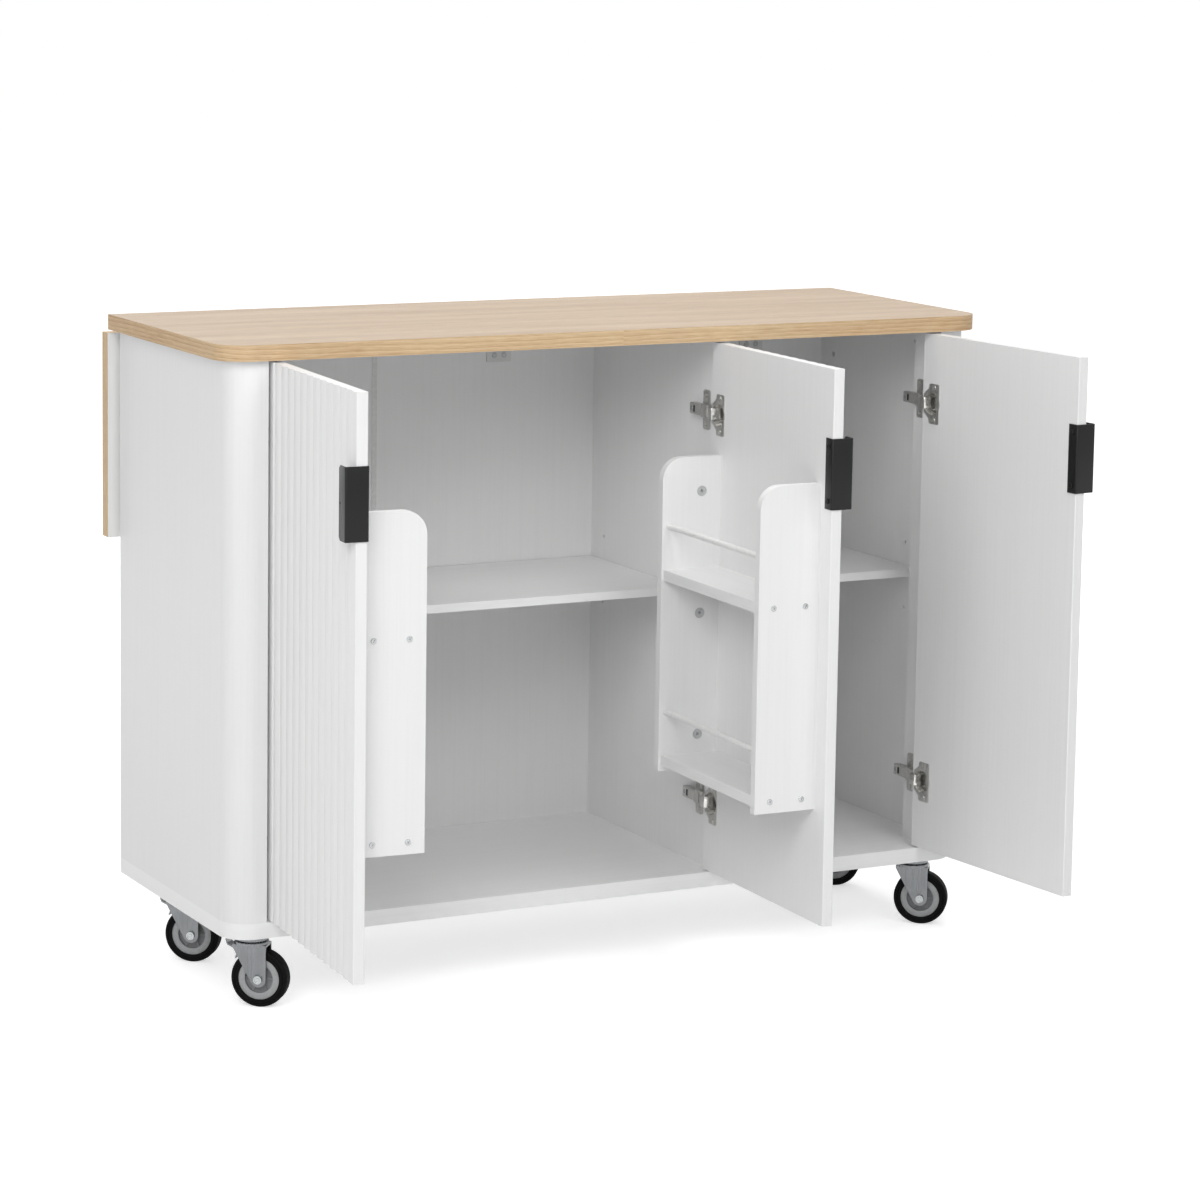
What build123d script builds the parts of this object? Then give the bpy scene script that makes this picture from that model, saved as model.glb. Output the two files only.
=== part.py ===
from build123d import *
import math
import os

# Drop leaf kitchen island on casters, in millimetres. X runs along the worktop to the right,
# Y runs from the doors to the hanging leaf, Z is up from the floor. While it is drawn, Y = 0 is
# the worktop's front edge; at the end everything is centred on its own footprint.

# Worktop
top_length = 1200
top_depth = 440
top_thickness = 22
top_height = 920
top_corner_radius = 46
side_overhang = 15
front_overhang = 10
back_overhang = 8

# Body boards
board_thickness = 15
post_width = 53.5
post_depth = 70
body_corner_radius = 40
bottom_thickness = 22
back_thickness = 12
back_recess = 8
back_top_gap = 4
strip_width = 8
strip_skin = 1
strip_x = -195
partition_setback = 4

# Shelves and their pins
shelf_thickness = 12
shelf_top = 526
shelf_rack_gap = 4
shelf_gap = 0.5
pin_diameter = 5
pin_embed = 7
pin_reach = 8
pin_front_inset = 31
pin_back_inset = 40
pin_row_pitch = 50
hole_clearance = 0.2

# Angle brackets that hold the worktop
bracket_width = 40
bracket_drop = 68
bracket_reach = 40
bracket_sheet = 2
bracket_screw_spacing = 16
bracket_screw_rise = 10
bracket_centres = (8, 442)

# Fitting holes left open inside the side boards, one at the front and one at the back
fitting_hole_diameter = 8
fitting_hole_depth = 9
front_hole_inset = 129
front_hole_drop = 30
back_hole_inset = 57
back_hole_drop = 75

# Fluted doors
door_thickness = 16
door_post_gap = 2
door_gap = 4.5
door_bottom_gap = 2.5
door_top_gap = 3
door_edge_radius = 1.5
plain_strip = 20
rib_count = 12
groove_depth = 3
left_open_angle = 94.3
middle_open_angle = 88.5
right_open_angle = 95.4

# Concealed hinges; the door turns about a line this far in from its edge and its outer face
pivot_inset = 8
pivot_depth = 5
upper_hinge_inset = 102
lower_hinge_inset = 100.5
cup_diameter = 35
cup_depth = 11.4
cup_wall = 1
cup_inset = 22.5
cup_rim = 1
cup_lug = 2.5
cup_lug_end = 6
cup_lug_gap = 0.3
flange_thickness = 1.2
flange_height = 59
flange_bar_lead = 6
flange_bar_width = 23
flange_shoulder = 45
flange_corner = 3
cup_screw_spacing = 48
mount_plate_height = 57
mount_plate_width = 19
mount_plate_corner = 4
mount_plate_thickness = 2
mount_plate_y = 59
mount_screw_spacing = 42
arm_front_y = 43
arm_back_y = 90
arm_height = 19
arm_tail_height = 16
arm_head_length = 14
arm_thickness = 10
arm_edge_round = 1.5
arm_cheek = 1.3
link_height = 16
link_sheet = 2.5
link_pin_radius = 1
link_eye_radius = 2
link_pin_clearance = 0.05
link_pin_reach = 4
link_pin_back = 15.5
link_turn_ratio = 0.69
hinge_screw_head = 7
hinge_screw_rise = 1.2

# Bent sheet pulls over the free edge of each door
pull_sheet = 1.5
pull_height = 97
pull_drop = 142.5
pull_flange = 17
pull_stand_off = 15
pull_lip = 24
pull_bend_radius = 1
pull_corner_cut = 4
pull_screw_spacing = 75
pull_screw_inset = 9
screw_head_diameter = 7
screw_head_rise = 1.8

# Open racks behind the left and middle doors
rack_board = 12
rack_start = 20
rack_end = 320
rack_depth = 92
rack_upper_gap = 27
rack_lower_gap = 28
rack_corner_radius = 32
rack_shelf_thickness = 15
rack_shelf_setback = 3
rack_shelf_rises = (290.5, 23.5)
rail_diameter = 8
rail_depth = 81.5
rail_rise = 61.5
rail_socket = 6
cam_diameter = 15
cam_thickness = 4
cam_proud = 0.4
cam_depth = 30
cam_end_inset = 49.5
cam_shelf_drop = 50.5
rack_screw_head = 8
rack_screw_depths = (20, 69)

# Drop leaf and its butt hinges
leaf_length = 296
leaf_thickness = 22
leaf_gap = 1
knuckle_radius = 2.8
leaf_axis_setback = 2.5
knuckle_clearance = 0.15
leaf_hinge_inset = 150
leaf_hinge_width = 60
leaf_plate_thickness = 1.5
leaf_plate_reach = 26
leaf_plate_step = 0.8
leaf_pin_radius = 1.2
leaf_pin_clearance = 0.05

# Folding struts that carry the raised leaf
strut_inset = 220
strut_length = 180
strut_drop_share = 0.611
strut_width = 12
strut_thickness = 3
strut_pin_radius = 2.5
strut_pin_clearance = 0.05
strut_face_distance = 9.3
strut_ear_gap = 0.5
strut_ear_thickness = 2
strut_plate_thickness = 1.5
strut_plate_height = 60
strut_plate_width = 30
catch_sheet = 1.5
catch_ear_gap = 1.5
catch_width = 26
catch_seat_gap = 0.3
catch_stop = 8
catch_reach = 12
catch_stop_height = 13
strut_tip_overhang = 1

# Swivel casters
caster_height = 104
wheel_diameter = 80
wheel_width = 22
caster_trail = 13
caster_heading = -39
caster_side_inset = 50
caster_front_inset = 44
caster_back_inset = 128
hub_diameter = 58
hub_rim = 9
hub_rim_width = 20
hub_web_width = 8
hub_boss_diameter = 18
hub_ribs = 6
hub_rib_width = 3
hub_rib_height = 2
tyre_round = 4
wheel_side_gap = 0.3
fork_sheet = 2.5
fork_gap = 12
fork_tip_radius = 11
fork_plate = 3
fork_clearance = 5
crown_diameter = 48
crown_round = 2
axle_diameter = 6
axle_head_diameter = 11
axle_head_rise = 2.5
axle_clearance = 0.05
race_diameter = 46
race_height = 8
race_round = 2
swivel_gap = 0.3
caster_plate_size = 58
caster_plate_thickness = 3
caster_plate_corner = 6
pedal_width = 20
pedal_sheet = 2
pedal_pin_radius = 1.5
pedal_barrel_radius = 3
pedal_pin_x = -29.5
pedal_pin_rise = 39
pedal_tip_x = -45
pedal_tip_rise = 46
pedal_curl = 7
pedal_shoe_x = -33.5
pedal_shoe_rise = 27.5

# Places that follow from the sizes above
top_underside = top_height - top_thickness
bottom_top = caster_height + bottom_thickness
body_half = top_length / 2 - side_overhang
body_front = front_overhang
body_back = top_depth - back_overhang
side_inner = body_half - board_thickness
post_inner = body_half - post_width
post_back = body_front + post_depth
back_outer = body_back - back_recess
back_inner = back_outer - back_thickness
door_width = (2 * post_inner - 2 * door_post_gap - 2 * door_gap) / 3
door_bottom = bottom_top + door_bottom_gap
door_height = top_underside - door_top_gap - door_bottom
partition_x = door_width / 2 + door_gap / 2
partition_front_y = body_front + door_thickness + partition_setback
pivot_y = body_front + pivot_depth
outer_face = -pivot_depth
inner_face = door_thickness - pivot_depth
hinge_edge = -pivot_inset
free_edge = door_width - pivot_inset
shelf_front_y = body_front + door_thickness + rack_depth + shelf_rack_gap
pin_front_y = shelf_front_y + pin_front_inset
pin_back_y = back_inner - pin_back_inset
pin_z = shelf_top - shelf_thickness - pin_diameter / 2
fitting_holes = (
    (body_front + front_hole_inset, top_underside - front_hole_drop),
    (body_back - back_hole_inset, top_underside - back_hole_drop),
)
lower_hinge_z = door_bottom + lower_hinge_inset
upper_hinge_z = door_bottom + door_height - upper_hinge_inset
hinge_heights = (lower_hinge_z, upper_hinge_z)
pull_centre_z = door_bottom + door_height - pull_drop
rack_bottom = lower_hinge_z + flange_height / 2 + rack_lower_gap
rack_top = upper_hinge_z - flange_height / 2 - rack_upper_gap
rack_height = rack_top - rack_bottom
rack_shelf_tops = [rack_bottom + rise for rise in rack_shelf_rises]
rail_heights = [top + rail_rise for top in rack_shelf_tops]
cam_middle = rack_shelf_tops[0] - rack_shelf_thickness - cam_shelf_drop
cam_heights = (rack_bottom + cam_end_inset, cam_middle, rack_top - cam_end_inset)
leaf_hinge_x = (leaf_hinge_inset - top_length / 2, 0, top_length / 2 - leaf_hinge_inset)
strut_x = top_length / 2 - strut_inset
leaf_axis_y = top_depth + leaf_gap - leaf_axis_setback
leaf_axis_z = top_underside - knuckle_radius
leaf_face_y = leaf_axis_y + knuckle_radius
leaf_top_z = leaf_axis_z - (top_depth + leaf_gap - leaf_axis_y)
strut_drop = strut_drop_share * strut_length
strut_axis_y = leaf_face_y - strut_face_distance
strut_axis_z = leaf_axis_z - strut_drop
wheel_radius = wheel_diameter / 2
crown_top = caster_height - caster_plate_thickness - race_height - swivel_gap
caster_x = body_half - caster_side_inset
caster_front_y = body_front + caster_front_inset
caster_back_y = body_back - caster_back_inset
doors = {
    "left": {"pivot_x": -post_inner + door_post_gap + pivot_inset, "hand": 1, "open": left_open_angle},
    "middle": {"pivot_x": door_width / 2 - pivot_inset, "hand": -1, "open": middle_open_angle},
    "right": {"pivot_x": post_inner - door_post_gap - pivot_inset, "hand": -1, "open": right_open_angle},
}
post_mount = hinge_edge - door_post_gap
partition_mount = doors["middle"]["pivot_x"] - (partition_x - board_thickness / 2)
hinge_mounts = {"left": post_mount, "middle": partition_mount, "right": post_mount}
casters = {
    "front_left": (-caster_x, caster_front_y),
    "front_right": (caster_x, caster_front_y),
    "back_left": (-caster_x, caster_back_y),
    "back_right": (caster_x, caster_back_y),
}
braked_casters = ("front_left", "back_left")
pieces = {}


def block(x_span, y_span, z_span):
    spans = (x_span, y_span, z_span)
    middle = [(low + high) / 2 for low, high in spans]
    size = [high - low for low, high in spans]
    return Pos(*middle) * Box(*size)


def rod_x(radius, x_span, y, z):
    length = x_span[1] - x_span[0]
    return Pos(sum(x_span) / 2, y, z) * Rot(0, 90, 0) * Cylinder(radius, length)


def rod_y(radius, x, y_span, z):
    length = y_span[1] - y_span[0]
    return Pos(x, sum(y_span) / 2, z) * Rot(90, 0, 0) * Cylinder(radius, length)


def rod_z(radius, x, y, z_span):
    length = z_span[1] - z_span[0]
    return Pos(x, y, sum(z_span) / 2) * Cylinder(radius, length)


def group(solids):
    return Compound(children=list(solids))


def rounded_front(half_length, y_span, radius, z_span):
    """A board whose two front corners are rounded in plan."""
    board = block((-half_length, half_length), y_span, z_span)
    front_edges = board.edges().filter_by(Axis.Z).group_by(Axis.Y)[0]
    return fillet(front_edges, radius)


def make_worktop():
    z_span = (top_underside, top_height)
    pieces["worktop"] = rounded_front(top_length / 2, (0, top_depth), top_corner_radius, z_span)


def shelf_pin_holes(face_x, direction):
    """Three rows of blind holes, and the open fitting holes are cut elsewhere."""
    depth = pin_embed + 2 * hole_clearance
    far_x = face_x + direction * depth
    x_span = (min(face_x, far_x), max(face_x, far_x))
    radius = pin_diameter / 2 + hole_clearance / 2
    holes = []
    for y in (pin_front_y, pin_back_y):
        for row in (-1, 0, 1):
            holes.append(rod_x(radius, x_span, y, pin_z + row * pin_row_pitch))
    return holes


def make_body_boards():
    z_span = (bottom_top, top_underside)
    pieces["bottom_board"] = rounded_front(
        body_half, (body_front, body_back), body_corner_radius, (caster_height, bottom_top)
    )
    for name, sign in (("left", -1), ("right", 1)):
        post = block((post_inner, body_half), (body_front, post_back), z_span)
        corner = post.edges().filter_by(Axis.Z).group_by(Axis.Y)[0].sort_by(Axis.X)[-1]
        post = fillet(corner, body_corner_radius)
        side = block((side_inner, body_half), (post_back, body_back), z_span)
        side -= shelf_pin_holes(side_inner, 1)
        for y, z in fitting_holes:
            side -= rod_x(fitting_hole_diameter / 2, (side_inner, side_inner + fitting_hole_depth), y, z)
        if sign < 0:
            post = mirror(post, about=Plane.YZ)
            side = mirror(side, about=Plane.YZ)
        pieces[f"corner_post_{name}"] = post
        pieces[f"side_board_{name}"] = side

    half = board_thickness / 2
    partition = block((partition_x - half, partition_x + half), (partition_front_y, back_inner), z_span)
    partition -= shelf_pin_holes(partition_x - half, 1)
    partition -= shelf_pin_holes(partition_x + half, -1)
    pieces["partition"] = partition


def make_back():
    """Two back boards held edge to edge by an H-shaped strip."""
    z_span = (bottom_top, top_underside - back_top_gap)
    y_span = (back_inner, back_outer)
    web = strip_skin / 2
    pieces["back_board_left"] = block((-side_inner, strip_x - web), y_span, z_span)
    pieces["back_board_right"] = block((strip_x + web, side_inner), y_span, z_span)
    strip = block((strip_x - web, strip_x + web), y_span, z_span)
    x_span = (strip_x - strip_width / 2, strip_x + strip_width / 2)
    strip += block(x_span, (back_inner - strip_skin, back_inner), z_span)
    strip += block(x_span, (back_outer, back_outer + strip_skin), z_span)
    pieces["back_joining_strip"] = strip


def make_shelves():
    """One shelf in each compartment, each on four pins."""
    partition_half = board_thickness / 2
    spans = {
        "left": (-side_inner, partition_x - partition_half),
        "right": (partition_x + partition_half, side_inner),
    }
    pins = []
    for name, (low, high) in spans.items():
        back = back_inner - strip_skin - shelf_gap
        pieces[f"shelf_{name}"] = block(
            (low + shelf_gap, high - shelf_gap), (shelf_front_y, back), (shelf_top - shelf_thickness, shelf_top)
        )
        for y in (pin_front_y, pin_back_y):
            pins.append(rod_x(pin_diameter / 2, (low - pin_embed, low + pin_reach), y, pin_z))
            pins.append(rod_x(pin_diameter / 2, (high - pin_reach, high + pin_embed), y, pin_z))
    pieces["shelf_pins"] = group(pins)


def make_worktop_brackets():
    brackets = []
    for centre in bracket_centres:
        x_span = (centre - bracket_width / 2, centre + bracket_width / 2)
        front = back_inner - bracket_sheet
        low = top_underside - bracket_drop
        bracket = block(x_span, (front, back_inner), (low, top_underside))
        bracket += block(x_span, (back_inner - bracket_reach, back_inner), (top_underside - bracket_sheet, top_underside))
        for side in (-1, 1):
            x = centre + side * bracket_screw_spacing / 2
            head = (front - screw_head_rise, front)
            bracket += rod_y(screw_head_diameter / 2, x, head, low + bracket_screw_rise)
        brackets.append(bracket)
    pieces["worktop_brackets"] = group(brackets)


def hang(piece, name, angle=0):
    """Place a piece drawn round the hinge line of a left-hung door, opened by an angle."""
    turned = Rot(0, 0, -angle) * piece
    if doors[name]["hand"] < 0:
        turned = mirror(turned, about=Plane.YZ)
    return Pos(doors[name]["pivot_x"], pivot_y, 0) * turned


def make_door_panel():
    """Outer face with plain strips at both edges and round ribs between them."""
    first = hinge_edge + plain_strip
    last = free_edge - plain_strip
    pitch = (last - first) / rib_count
    floor_line = outer_face + groove_depth
    outline = Polyline(
        (first, floor_line), (first, outer_face), (hinge_edge, outer_face), (hinge_edge, inner_face),
        (free_edge, inner_face), (free_edge, outer_face), (last, outer_face), (last, floor_line),
    ).edges()
    for rib in range(rib_count):
        start = first + rib * pitch
        outline.append(
            ThreePointArc((start, floor_line), (start + pitch / 2, outer_face), (start + pitch, floor_line))
        )
    face = make_face(outline)
    corners = face.vertices().group_by(Axis.X)
    face = fillet(corners[0] + corners[-1], door_edge_radius)
    panel = Pos(0, 0, door_bottom) * extrude(face, door_height)
    pocket_radius = cup_diameter / 2 + hole_clearance / 2
    for z in hinge_heights:
        pocket = (inner_face - cup_depth - hole_clearance, inner_face)
        panel -= rod_y(pocket_radius, hinge_edge + cup_inset, pocket, z)
    return panel


def make_hinge_cup(z):
    """Cup with a rim, lugs beside the link's tip, and a flange with a screw at each end."""
    centre = hinge_edge + cup_inset
    outer = cup_diameter / 2
    inner = outer - cup_wall
    cup = rod_y(outer, centre, (inner_face - cup_depth, inner_face), z)
    bar_start = centre - flange_bar_lead
    bar_end = bar_start + flange_bar_width
    wing_start = centre - outer
    half = flange_height / 2
    shoulder = flange_shoulder / 2
    wing_half = outer * 0.8
    flange = make_face(
        Polyline(
            (wing_start, -wing_half), (bar_start, -shoulder), (bar_start, -half), (bar_end, -half),
            (bar_end, half), (bar_start, half), (bar_start, shoulder), (wing_start, wing_half), close=True,
        )
    )
    tips = flange.vertices().group_by(Axis.Y)
    flange = fillet(tips[0] + tips[-1], flange_corner)
    flange += Pos(centre, 0) * Circle(outer + cup_rim)
    plate = extrude(Plane.XZ * flange, flange_thickness)
    cup += Pos(0, inner_face + flange_thickness, z) * plate
    hollow = (inner_face - cup_depth + cup_wall, inner_face + flange_thickness)
    cup -= rod_y(inner, centre, hollow, z)
    lugs = rod_y(inner, centre, (hollow[0], inner_face), z)
    near = link_height / 2 + cup_lug_gap
    lugs -= block((centre - outer, centre + outer), hollow, (z - near, z + near))
    for side in (-1, 1):
        low, high = sorted((side * near, side * (near + cup_lug)))
        cup += lugs & block((centre - outer, centre - cup_lug_end), hollow, (z + low, z + high))
    screw_x = (bar_start + bar_end) / 2
    head = (inner_face + flange_thickness, inner_face + flange_thickness + hinge_screw_rise)
    for side in (-1, 1):
        cup += rod_y(hinge_screw_head / 2, screw_x, head, z + side * cup_screw_spacing / 2)
    return cup


def link_outline():
    """Plan of the C-shaped link with the door open by the left door's angle."""
    eye = (link_pin_reach, link_pin_back)
    shoulder = (15.8, 7.4)
    elbow = (15, -2.3)
    tip = (9.3, -3.5)
    path = FilletPolyline(eye, shoulder, elbow, tip, radius=(3, 1.6))
    shape = trace(path, link_sheet)
    shape += Pos(*eye) * Circle(link_eye_radius)
    shape += Pos(*tip) * Circle(link_sheet / 2)
    return shape - Pos(*eye) * Circle(link_pin_radius + link_pin_clearance)


def make_hinge_link(z, angle):
    """The link turns about the pin at the arm's end as the door turns."""
    base = Pos(0, 0, z - link_height / 2) * extrude(link_outline(), link_height)
    turn = link_turn_ratio * (left_open_angle - angle)
    eye = Pos(link_pin_reach, link_pin_back, 0)
    return eye * Rot(0, 0, turn) * eye.inverse() * base


def make_hinge_mount(z, mount):
    """Cross plate on the board, and on it the arm whose two cheeks hold the link's pin."""
    plate_y = mount_plate_y - pivot_y
    plate_face = mount + mount_plate_thickness
    plate_span = (plate_y - mount_plate_width / 2, plate_y + mount_plate_width / 2)
    half = mount_plate_height / 2
    plate = block((mount, plate_face), plate_span, (z - half, z + half))
    plate = fillet(plate.edges().filter_by(Axis.X), mount_plate_corner)
    for side in (-1, 1):
        head = (plate_face, plate_face + hinge_screw_rise)
        plate += rod_x(hinge_screw_head / 2, head, plate_y, z + side * mount_screw_spacing / 2)

    arm_face = plate_face + arm_thickness
    arm_front = arm_front_y - pivot_y
    arm_head = arm_front + arm_head_length
    half = arm_tail_height / 2
    tail = block((plate_face, arm_face), (arm_head, arm_back_y - pivot_y), (z - half, z + half))
    tail = fillet(tail.edges().filter_by(Axis.Y).group_by(Axis.X)[-1], arm_edge_round)
    half = arm_height / 2
    arm = block((plate_face, arm_face), (arm_front, arm_head), (z - half, z + half)) + tail
    root = Pos((plate_face + arm_face) / 2, arm_front + 5) * Rectangle(arm_thickness, 10)
    eye = Pos(link_pin_reach, link_pin_back) * Circle(link_eye_radius)
    cheek = make_face(make_hull(root.edges() + eye.edges()).edges())
    arm += Pos(0, 0, z + half - arm_cheek) * extrude(cheek, arm_cheek)
    arm += Pos(0, 0, z - half) * extrude(cheek, arm_cheek)
    arm += rod_z(link_pin_radius, link_pin_reach, link_pin_back, (z - half, z + half))
    return [plate, arm]


def make_pull():
    """One bent sheet: a flange on the inner face, a web over the edge and a lip in front."""
    front = outer_face - pull_stand_off
    outside = free_edge + pull_sheet
    lip_end = outside - pull_lip
    flange_end = free_edge - pull_flange
    profile = make_face(
        Polyline(
            (flange_end, inner_face), (free_edge, inner_face), (free_edge, front + pull_sheet),
            (lip_end, front + pull_sheet), (lip_end, front), (outside, front),
            (outside, inner_face + pull_sheet), (flange_end, inner_face + pull_sheet), close=True,
        )
    )
    bends = profile.vertices().group_by(Axis.X)
    profile = fillet(bends[-1], pull_bend_radius + pull_sheet)
    inside = [v for v in profile.vertices() if abs(v.X - free_edge) < 0.001 and abs(v.Y - inner_face) < 0.001]
    inside += [v for v in profile.vertices() if abs(v.X - free_edge) < 0.001 and v.Y < front + 2 * pull_sheet]
    profile = fillet(inside, pull_bend_radius)
    pull = Pos(0, 0, pull_centre_z - pull_height / 2) * extrude(profile, pull_height)
    lip_corners = pull.edges().filter_by(Axis.Y).group_by(Axis.X)[0]
    return chamfer(lip_corners, pull_corner_cut)


def make_pull_screws():
    heads = []
    seat = inner_face + pull_sheet
    for side in (-1, 1):
        z = pull_centre_z + side * pull_screw_spacing / 2
        heads.append(rod_y(screw_head_diameter / 2, free_edge - pull_screw_inset, (seat, seat + screw_head_rise), z))
    return heads


def rack_faces():
    """Outer and inner faces of the hinge-side and free-side boards."""
    hinge_side = (hinge_edge + rack_start, hinge_edge + rack_start + rack_board)
    free_side = (hinge_edge + rack_end - rack_board, hinge_edge + rack_end)
    return hinge_side, free_side


def make_rack_side(x_span, inside_x, inward):
    profile = Rectangle(rack_depth, rack_height, align=(Align.MIN, Align.MIN))
    corner = profile.vertices().sort_by(Axis.X)[-2:].sort_by(Axis.Y)[-1]
    profile = fillet(corner, rack_corner_radius)
    board = extrude(Plane.YZ * profile, x_span[1] - x_span[0])
    board = Pos(x_span[0], inner_face, rack_bottom) * board
    for z in rail_heights:
        far_x = inside_x - inward * rail_socket
        span = (min(inside_x, far_x), max(inside_x, far_x))
        board -= rod_x(rail_diameter / 2 + hole_clearance / 2, span, inner_face + rail_depth, z)
    for z in cam_heights:
        far_x = inside_x - inward * (cam_thickness - cam_proud)
        span = (min(inside_x, far_x), max(inside_x, far_x))
        board -= rod_x(cam_diameter / 2 + hole_clearance / 2, span, inner_face + cam_depth, z)
    return board


def make_rack(name, angle):
    hinge_side, free_side = rack_faces()
    inside = (hinge_side[1], free_side[0])
    sides = {
        "hinge_side": make_rack_side(hinge_side, hinge_side[1], 1),
        "free_side": make_rack_side(free_side, free_side[0], -1),
    }
    for side, board in sides.items():
        pieces[f"rack_{name}_{side}"] = hang(board, name, angle)

    shelf_depth = (inner_face, inner_face + rack_depth - rack_shelf_setback)
    shelves = [block(inside, shelf_depth, (top - rack_shelf_thickness, top)) for top in rack_shelf_tops]
    pieces[f"rack_{name}_shelves"] = hang(group(shelves), name, angle)

    reach = rail_socket - hole_clearance
    rail_span = (inside[0] - reach, inside[1] + reach)
    rails = [rod_x(rail_diameter / 2, rail_span, inner_face + rail_depth, z) for z in rail_heights]
    pieces[f"rack_{name}_rails"] = hang(group(rails), name, angle)


def make_rack_fasteners():
    """Cam locks inside the side boards, and shelf screws through them from outside."""
    hinge_side, free_side = rack_faces()
    fasteners = []
    for z in cam_heights:
        sunk = cam_thickness - cam_proud
        y = inner_face + cam_depth
        fasteners.append(rod_x(cam_diameter / 2, (hinge_side[1] - sunk, hinge_side[1] + cam_proud), y, z))
        fasteners.append(rod_x(cam_diameter / 2, (free_side[0] - cam_proud, free_side[0] + sunk), y, z))
    for top in rack_shelf_tops:
        z = top - rack_shelf_thickness / 2
        for depth in rack_screw_depths:
            y = inner_face + depth
            radius = rack_screw_head / 2
            fasteners.append(rod_x(radius, (hinge_side[0] - hinge_screw_rise, hinge_side[0]), y, z))
            fasteners.append(rod_x(radius, (free_side[1], free_side[1] + hinge_screw_rise), y, z))
    return fasteners


def make_doors():
    mounts = []
    for name, door in doors.items():
        angle = door["open"]
        pieces[f"door_{name}"] = hang(make_door_panel(), name, angle)
        cups = group([make_hinge_cup(z) for z in hinge_heights])
        pieces[f"door_{name}_hinge_cups"] = hang(cups, name, angle)
        links = group([make_hinge_link(z, angle) for z in hinge_heights])
        pieces[f"door_{name}_hinge_links"] = hang(links, name)
        pieces[f"door_{name}_pull"] = hang(make_pull(), name, angle)
        fasteners = make_pull_screws()
        if name != "right":
            make_rack(name, angle)
            fasteners += make_rack_fasteners()
        pieces[f"door_{name}_fasteners"] = hang(group(fasteners), name, angle)
        for z in hinge_heights:
            mounts += [hang(piece, name) for piece in make_hinge_mount(z, hinge_mounts[name])]
    pieces["door_hinge_arms"] = group(mounts)


def make_leaf():
    z_span = (leaf_top_z - leaf_length, leaf_top_z)
    y_span = (leaf_face_y, leaf_face_y + leaf_thickness)
    pieces["drop_leaf"] = block((-top_length / 2, top_length / 2), y_span, z_span)


def leaf_hinge_plate(knuckle_spans, plate_span, bore_radius):
    """A hinge plate that lies flat against a face above it, reaching towards -Y."""
    inside = knuckle_radius - leaf_plate_thickness
    step = -knuckle_radius - leaf_plate_step
    plate = block(plate_span, (-leaf_plate_reach, step), (inside, knuckle_radius))
    for span in knuckle_spans:
        plate += block(span, (step, 0), (inside, knuckle_radius))
        plate += rod_x(knuckle_radius, span, 0, 0)
        plate -= rod_x(bore_radius, span, 0, 0)
    return plate


def make_leaf_hinges():
    half = leaf_hinge_width / 2
    third = leaf_hinge_width / 6
    gap = knuckle_clearance
    fixed = leaf_hinge_plate(((-half, -third - gap), (third + gap, half)), (-half, half), leaf_pin_radius)
    fixed += rod_x(leaf_pin_radius, (-half, half), 0, 0)
    moving_bore = leaf_pin_radius + leaf_pin_clearance
    moving = leaf_hinge_plate(((-third + gap, third - gap),), (-half, half), moving_bore)
    moving = Rot(-90, 0, 0) * mirror(moving, about=Plane.XZ)
    fixed_plates = [Pos(x, leaf_axis_y, leaf_axis_z) * fixed for x in leaf_hinge_x]
    moving_plates = [Pos(x, leaf_axis_y, leaf_axis_z) * moving for x in leaf_hinge_x]
    pieces["leaf_hinge_fixed_plates"] = group(fixed_plates)
    pieces["leaf_hinge_moving_plates"] = group(moving_plates)


def strut_seat_distance():
    """How far from the hinge line the strut's tip seats on the raised leaf."""
    rise = strut_drop - (strut_face_distance - knuckle_radius)
    across = math.sqrt(strut_length ** 2 - rise ** 2)
    return across + strut_axis_y - leaf_axis_y


def strut_swing():
    """Angle from hanging straight down to holding the raised leaf."""
    rise = strut_drop - (strut_face_distance - knuckle_radius)
    return 180 - math.degrees(math.acos(rise / strut_length))


def make_strut():
    """Flat bar with round ends, a bore at the top and a cross pin at the bottom."""
    bar = SlotCenterToCenter(strut_length, strut_width)
    bar = Pos(0, -strut_length / 2) * Rot(0, 0, 90) * bar
    bar -= Circle(strut_pin_radius + strut_pin_clearance)
    half = strut_thickness / 2
    strut = Pos(-half, 0, 0) * extrude(Plane.YZ * bar, strut_thickness)
    ear = half + catch_ear_gap + catch_sheet + strut_tip_overhang
    return strut + rod_x(strut_pin_radius, (-ear, ear), 0, -strut_length)


def make_strut_wall_plate():
    """Plate on the back board with two ears and the pin that the strut hangs on."""
    back = back_outer - strut_axis_y
    plate_face = back + strut_plate_thickness
    half_width = strut_plate_width / 2
    half_height = strut_plate_height / 2
    plate = block((-half_width, half_width), (back, plate_face), (-half_height, half_height))
    ear = Circle(strut_width / 2) + Pos(plate_face / 2, 0) * Rectangle(-plate_face, strut_width)
    inner = strut_thickness / 2 + strut_ear_gap
    for side in (-1, 1):
        start = inner if side > 0 else -inner - strut_ear_thickness
        plate += Pos(start, 0, 0) * extrude(Plane.YZ * ear, strut_ear_thickness)
    outer = inner + strut_ear_thickness
    return plate + rod_x(strut_pin_radius, (-outer, outer), 0, 0)


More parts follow.
